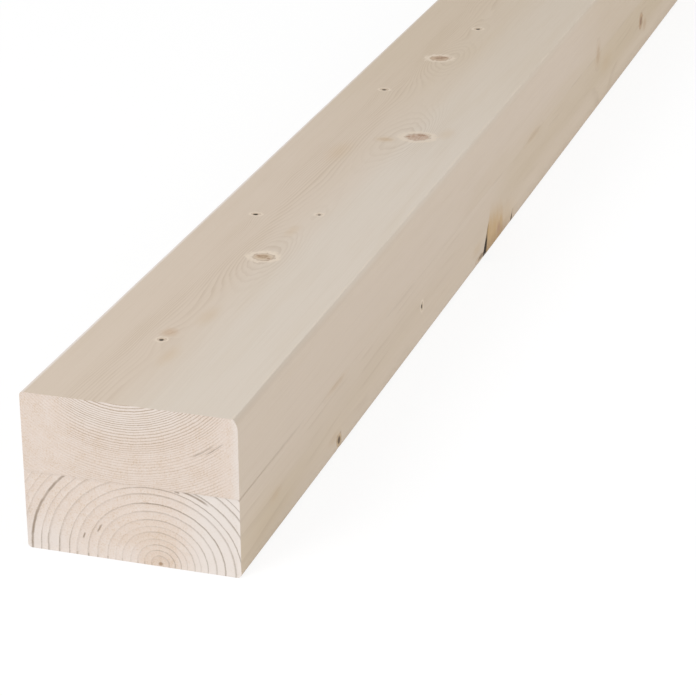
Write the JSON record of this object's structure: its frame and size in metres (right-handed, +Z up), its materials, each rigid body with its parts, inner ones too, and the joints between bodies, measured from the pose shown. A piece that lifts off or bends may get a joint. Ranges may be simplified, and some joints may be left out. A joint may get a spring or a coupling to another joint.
{
  "type": "glued two-lamella timber beam",
  "caption": "Planed spruce beam of boards glued face to face with the heart sides outwards, eased long arrises and square sawn ends, for posts, purlins and rafters.",
  "frame": {"origin": "on the floor, under the middle of the beam", "axes": "+X across the wide faces towards the broadly eased arris, +Y along the grain, +Z up from the lower lamella to the upper one"},
  "size_m": [0.16, 3, 0.12],
  "materials": {
    "spruce_wide_ringed": "planed and bare, with wide growth rings, matt",
    "spruce_fine_ringed": "planed and bare, with fine growth rings, matt"
  },
  "bodies": {
    "root": {"lower_lamella": "spruce_wide_ringed", "upper_lamella": "spruce_fine_ringed"}
  },
  "joints": []
}
